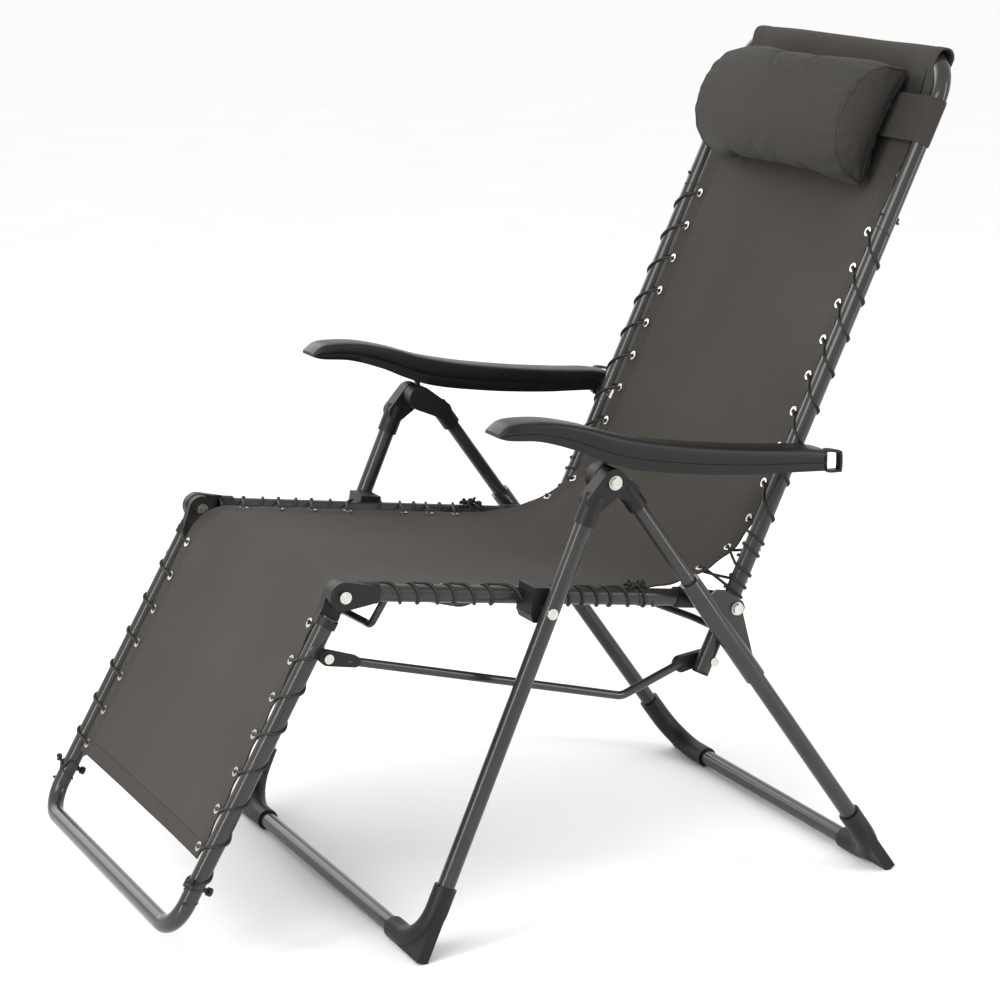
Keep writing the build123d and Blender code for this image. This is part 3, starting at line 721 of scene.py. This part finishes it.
def make_corner_lacing():
    """The two eyelets on the cloth's round corner, and the long spans of cord from them to the back rail."""
    for side, word in SIDES:
        centres = [(side * EYELET_X, *hip_near(s, n)) for s, n in CORNER_EYES]
        rings = eyelet_mesh(f"corner_eyelets_{word}", centres)
        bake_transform(rings)

        def rail_point(degrees, s):
            turn = math.radians(degrees)
            return point(side * (RAIL_X - WRAP_R * math.cos(turn)), back_at(s, WRAP_R * math.sin(turn)))

        wraps = [[rail_point(60 + 45 * k, s + END_TURN_STEP * (4 - k / 2)) for k in range(17)]
                 for s in CORNER_WRAPS]
        held = cord_piece(f"corner_wraps_{word}", wraps, CORD_R, CORD)
        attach(held, "backrest")
        routes = []
        for (x, p, heading), above, below in zip(centres, CORNER_WRAPS, CORNER_WRAPS[1:]):
            routes.append([rail_point(270, above), rail_point(315, above - 0.002)]
                          + [point(x + side * offset, toward(p, heading, 0.0, n)) for offset, n in EYELET_PASS]
                          + [rail_point(60, below + 0.0168), rail_point(100, below + 0.0150)])
        span = cord_piece(f"corner_lacing_{word}", routes, CORD_R, CORD)
        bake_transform(span)


# ---------------------------------------------------------------- pillow
PILLOW_HALF = 0.186
PILLOW_BACK = 0.0042
PILLOW_FRONT = 0.0945
PILLOW_TOP = 0.736
PILLOW_CENTRE = (0.645, 0.042)
PILLOW_OUTLINE = ((0.570, 0.005), (0.722, 0.005), (0.732, 0.022), (0.721, 0.050), (0.698, 0.072), (0.664, 0.084),
                  (0.628, 0.085), (0.594, 0.073), (0.570, 0.048), (0.562, 0.022))


def rounded(points, per_side):
    """Closed Catmull-Rom curve through points."""
    n = len(points)
    line = []
    for i in range(n):
        p0, p1, p2, p3 = (points[(i + k) % n] for k in (-1, 0, 1, 2))
        for j in range(per_side):
            t = j / per_side
            line.append(tuple(0.5 * (2 * p1[k] + (p2[k] - p0[k]) * t
                                     + (2 * p0[k] - 5 * p1[k] + 4 * p2[k] - p3[k]) * t ** 2
                                     + (3 * p1[k] - p0[k] - 3 * p2[k] + p3[k]) * t ** 3) for k in (0, 1)))
    return line


def pillow_blank():
    outline = rounded(PILLOW_OUTLINE, 5)
    rows = []
    for i in range(33):
        x = -PILLOW_HALF + 2.0 * PILLOW_HALF * i / 32
        near_end = abs(x) / PILLOW_HALF
        size = 0.985 - 0.055 * near_end ** 6
        row = []
        for s, n in outline:
            row.append(point(x, back_at(PILLOW_CENTRE[0] + (s - PILLOW_CENTRE[0]) * size,
                                        PILLOW_CENTRE[1] + (n - PILLOW_CENTRE[1]) * size)))
        rows.append(row)
    return shell("pillow_case", rows, closed=True, caps=True)


def back_frame(p):
    """Station s and n of a point in the back's own frame."""
    a = math.radians(BACK_ANGLE)
    dy, dz = p[1] - HIP[0], p[2] - HIP[1]
    return dy * math.cos(a) + dz * math.sin(a), -dy * math.sin(a) + dz * math.cos(a)


SETTLE_FRAMES = 20


def inflate(piece, voxel, pressure, cap):
    """Fills a closed cloth form with air and keeps the result, no point moved further than cap."""
    remesh = piece.modifiers.new("remesh", "REMESH")
    remesh.mode = "VOXEL"
    remesh.voxel_size = voxel
    apply_modifiers(piece)
    before = [v.co.copy() for v in piece.data.vertices]
    cloth = piece.modifiers.new("cloth", "CLOTH")
    cloth.settings.use_pressure = True
    cloth.settings.uniform_pressure_force = pressure
    cloth.settings.effector_weights.gravity = 0.0
    cloth.settings.tension_stiffness = 12.0
    cloth.settings.compression_stiffness = 12.0
    cloth.settings.bending_stiffness = 0.6
    cloth.point_cache.frame_start = 1
    cloth.point_cache.frame_end = SETTLE_FRAMES
    for frame_number in range(1, SETTLE_FRAMES + 1):
        bpy.context.scene.frame_set(frame_number)
    apply_modifiers(piece)
    bpy.context.scene.frame_set(1)
    for v, old in zip(piece.data.vertices, before):
        move = v.co - old
        if move.length > cap:
            v.co = old + move * (cap / move.length)


def settle_pillow(mesh):
    """Runs creases in from the end seams and keeps the pillow within its back, front and top limits."""
    a = math.radians(BACK_ANGLE)
    along = Vector((0, math.cos(a), math.sin(a)))
    normal = Vector((0, -math.sin(a), math.cos(a)))
    mesh.update()
    for v in mesh.vertices:
        s, n = back_frame(v.co)
        to_end = max(0.0, PILLOW_HALF + 0.004 - abs(v.co.x))
        around = math.atan2(n - PILLOW_CENTRE[1], s - PILLOW_CENTRE[0])
        crease = math.sin(around * 17.0 + noise.noise(Vector((around * 2.0, v.co.x * 9.0, 1.0))) * 3.0)
        depth = 0.0011 * crease * math.exp(-((to_end - 0.020) / 0.022) ** 2)
        swell = 0.0016 * noise.noise(Vector((v.co.x * 9.0, s * 16.0, n * 16.0)))
        if n > 0.012:
            v.co += v.normal * (depth + swell)
        s, n = back_frame(v.co)
        if n < PILLOW_BACK:
            v.co += normal * (PILLOW_BACK - n)
        if n > PILLOW_FRONT:
            v.co -= normal * (n - PILLOW_FRONT)
        if s > PILLOW_TOP:
            v.co -= along * (s - PILLOW_TOP)


def seam_route(tree, x, inset):
    """Closed line round the pillow just inside the surface at station x."""
    centre = point(x, back_at(*PILLOW_CENTRE))
    route = []
    for k in range(73):
        turn = 2.0 * math.pi * k / 72
        ray = point(0.0, toward((0.0, 0.0), BACK_ANGLE, math.cos(turn), math.sin(turn)))
        hit = tree.ray_cast(centre, ray)
        if hit[0] is not None:
            route.append(hit[0] - ray * inset)
    return route


def make_pillow():
    piece = new_piece("pillow_cushion", pillow_blank(), PILLOW)
    inflate(piece, 0.005, 4.0, 0.022)
    settle_pillow(piece.data)
    smooth = piece.modifiers.new("smooth", "SUBSURF")
    smooth.levels = 1
    smooth.render_levels = 1
    apply_modifiers(piece)
    piece.data.polygons.foreach_set("use_smooth", [True] * len(piece.data.polygons))
    piece.data.materials.clear()
    piece.data.materials.append(PILLOW)
    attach(piece, "backrest")
    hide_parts("pillow")
    graph = bpy.context.evaluated_depsgraph_get()
    tree = BVHTree.FromObject(piece, graph)
    routes = [seam_route(tree, side * (PILLOW_HALF - 0.0045), 0.0003) for side in (1, -1)]
    piping = cord_piece("pillow_piping", routes, 0.0017, PIPING_AND_SHADE_PATCH)
    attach(piping, "backrest")


STRAP_S = 0.668
STRAP_W = 0.062


def band(name, path, s_low, s_high, thickness, material):
    """Flat webbing along an (x, n) path in the back's frame, between two stations up the back."""
    rows = []
    for i, (x, n) in enumerate(path):
        a = path[max(0, i - 1)]
        b = path[min(len(path) - 1, i + 1)]
        heading = math.atan2(b[1] - a[1], b[0] - a[0])
        off = (-math.sin(heading) * thickness / 2.0, math.cos(heading) * thickness / 2.0)
        count = 12
        ring = []
        for face, order in ((1.0, range(count + 1)), (-1.0, range(count, -1, -1))):
            for k in order:
                s = s_low + (s_high - s_low) * k / count
                edge = min(k, count - k)
                roll = 0.35 if edge == 0 else 1.0
                ring.append(point(x + off[0] * face * roll, back_at(s, n + off[1] * face * roll)))
        rows.append(ring)
    return new_piece(name, shell(name, rows, closed=True, caps=True), material, smooth_angle=50)


def make_strap():
    """The pillow's band: from its back out round both rails, and straight across behind the sling."""
    hold = TUBE_R + 0.0013
    path = [(0.170, 0.010), (0.190, 0.0108), (0.215, 0.0116), (0.238, hold)]
    for k in range(13):
        turn = math.radians(90 - 15 * k)
        path.append((RAIL_X + hold * math.cos(turn), hold * math.sin(turn)))
    path += [(0.230, -hold), (0.150, -hold - 0.0004), (0.060, -hold - 0.0006)]
    path += [(-x, n) for x, n in reversed(path)]
    strap = band("pillow_band", path, STRAP_S - STRAP_W / 2.0, STRAP_S + STRAP_W / 2.0, 0.0014, PILLOW)
    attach(strap, "backrest")
    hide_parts("pillow_strap")


def make_shade_patches():
    """Short flat black patches on the top sleeve beside the pillow: painted shade, a dark sheet where the gap
    between the pillow and the sleeve lies in shadow.
    """
    stations = ((0.688, 0.0022), (0.701, 0.0030), (0.714, 0.0046), (0.726, 0.0068), (0.735, 0.0090))
    for side, word in SIDES:
        rows = []
        for s, n in stations:
            ring = []
            for face, order in ((0.0008, range(9)), (-0.0006, range(8, -1, -1))):
                for k in order:
                    ring.append(point(side * (0.184 + 0.028 * k / 8), back_at(s, n + face)))
            rows.append(ring)
        mesh = shell(f"pillow_shade_patch_{word}", rows, closed=True, caps=True)
        # The black sheet is painted shade: it darkens the shadowed gap between the pillow and the sleeve.
        shade_patch = new_piece(f"pillow_shade_patch_{word}", mesh, PIPING_AND_SHADE_PATCH, smooth_angle=50)
        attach(shade_patch, "backrest")


# ---------------------------------------------------------------- armrests
ARM_MID = 0.295
ARM_HALF = 0.0250
ARM_TOP = ((-0.1705, 0.6530), (-0.158, 0.6622), (-0.1396, 0.6650), (-0.101, 0.6625), (-0.055, 0.6520),
           (-0.0075, 0.6365), (0.040, 0.6250), (0.089, 0.6160), (0.154, 0.6065), (0.221, 0.5990), (0.261, 0.5955),
           (0.286, 0.5912))
ARM_LOW = ((-0.1705, 0.6480), (-0.159, 0.6450), (-0.117, 0.6400), (-0.070, 0.6250), (-0.039, 0.6110),
           (-0.007, 0.5985), (0.025, 0.5905), (0.073, 0.5825), (0.122, 0.5760), (0.188, 0.5700), (0.2315, 0.5680),
           (0.286, 0.5650))
ARM_PIVOT = back_at(0.200)


def height(line, y):
    """Smooth height of a profile line at y."""
    for i in range(len(line) - 1):
        if y <= line[i + 1][0] or i == len(line) - 2:
            break
    slopes = []
    for k in (i, i + 1):
        a = line[max(0, k - 1)]
        b = line[min(len(line) - 1, k + 1)]
        slopes.append((b[1] - a[1]) / (b[0] - a[0]))
    (y0, z0), (y1, z1) = line[i], line[i + 1]
    d = y1 - y0
    t = min(1.0, max(0.0, (y - y0) / d))
    return ((2 * t ** 3 - 3 * t ** 2 + 1) * z0 + (t ** 3 - 2 * t ** 2 + t) * d * slopes[0]
            + (3 * t ** 2 - 2 * t ** 3) * z1 + (t ** 3 - t ** 2) * d * slopes[1])


def arm_section(y, side):
    """One ring of the arm: crowned top with a soft bevel, a side skirt with a swage line, open below."""
    first, last = ARM_TOP[0][0], ARM_TOP[-1][0]
    top = height(ARM_TOP, y)
    low = min(height(ARM_LOW, y), top - 0.004)
    depth = top - low
    from_tip = (y - first) / 0.030
    half = ARM_HALF * (1.0 if from_tip >= 1.0 else 0.80 + 0.20 * math.sqrt(1.0 - (1.0 - from_tip) ** 2))
    hollow = max(0.0, min(1.0, (y - first - 0.030) / 0.02, (last - 0.004 - y) / 0.02))
    ceiling = low + max(0.0, depth - 0.0045) * hollow
    wall = 0.0035
    bevel = min(0.0065, depth * 0.42)
    swage = top - depth * 0.62
    outer = [(-half + 0.0006, low), (-half, low + 0.0008), (-half, swage - 0.0006), (-half + 0.0007, swage),
             (-half + 0.0004, swage + 0.0006), (-half, swage + 0.0014), (-half, top - bevel),
             (-half + 0.0011, top - bevel * 0.52), (-half + 0.0036, top - bevel * 0.20),
             (-half + 0.0076, top - 0.0006), (-half * 0.45, top - 0.0001), (0.0, top)]
    ring = outer + [(-u, z) for u, z in reversed(outer[:-1])]
    inner = half - wall
    ring += [(inner, low), (inner, ceiling), (inner * 0.5, ceiling), (0.0, ceiling), (-inner * 0.5, ceiling),
             (-inner, ceiling), (-inner, low)]
    return [Vector((side * (ARM_MID + u), y + Y_SHIFT, z)) for u, z in ring]


def loop_rows(side):
    """Rings of the loop handle at the rear end, a flat bar bent round a window on the outer side."""
    corners = ((0.2845, 0.5893), (0.3030, 0.5880), (0.3071, 0.5845), (0.3071, 0.5652), (0.3040, 0.5632),
               (0.2845, 0.5665))
    path = rounded(corners, 5)
    thick = 0.0018
    rows = []
    n = len(path)
    for i in range(n + 1):
        y, z = path[i % n]
        a = path[(i - 1) % n]
        b = path[(i + 1) % n]
        heading = math.atan2(b[1] - a[1], b[0] - a[0])
        out = (-math.sin(heading), math.cos(heading))
        ring = []
        for u, k in ((0.0130, 0.5), (0.0138, 1.0), (0.0190, 1.0), (0.0242, 1.0), (0.0250, 0.5), (0.0250, -0.5),
                     (0.0242, -1.0), (0.0190, -1.0), (0.0138, -1.0), (0.0130, -0.5)):
            ring.append(Vector((side * (ARM_MID + u), y + Y_SHIFT + out[0] * thick * k, z + out[1] * thick * k)))
        rows.append(ring)
    return rows


def make_arms():
    for side, word in SIDES:
        first, last = ARM_TOP[0][0], ARM_TOP[-1][0]
        rows = []
        count = 90
        for i in range(count + 1):
            t = i / count
            rows.append(arm_section(first + (last - first) * (t ** 1.25), side))
        body = shell(f"arm_body_{word}", rows, closed=True, caps=True)
        loop = shell(f"arm_loop_{word}", loop_rows(side), closed=True)
        boss_rows = []
        for x, r in ((0.2705, 0.0122), (0.2712, 0.0130), (0.2795, 0.0130), (0.2802, 0.0122)):
            boss_rows.append([Vector((side * x, ARM_PIVOT[0] + r * math.cos(k * math.pi / 16),
                                      ARM_PIVOT[1] + 0.004 + min(0.008, r * math.sin(k * math.pi / 16))))
                              for k in range(32)])
        boss = shell(f"arm_boss_{word}", boss_rows, closed=True, caps=True)
        build = bmesh.new()
        for mesh in (body, loop, boss):
            build.from_mesh(mesh)
        bmesh.ops.remove_doubles(build, verts=build.verts, dist=0.00002)
        bmesh.ops.recalc_face_normals(build, faces=build.faces)
        joined = bpy.data.meshes.new(f"arm_{word}")
        build.to_mesh(joined)
        build.free()
        arm = new_piece(f"arm_moulding_{word}", joined, ARM, smooth_angle=38)
        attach(arm, f"arm_{word}")
        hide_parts(f"armrest_{word}")


make_camera()
make_studio()
make_floor(FLOOR)
finish_cad_nodes()
make_sling()
make_lacing()
make_corner_lacing()
make_pillow()
make_strap()
make_shade_patches()
make_arms()
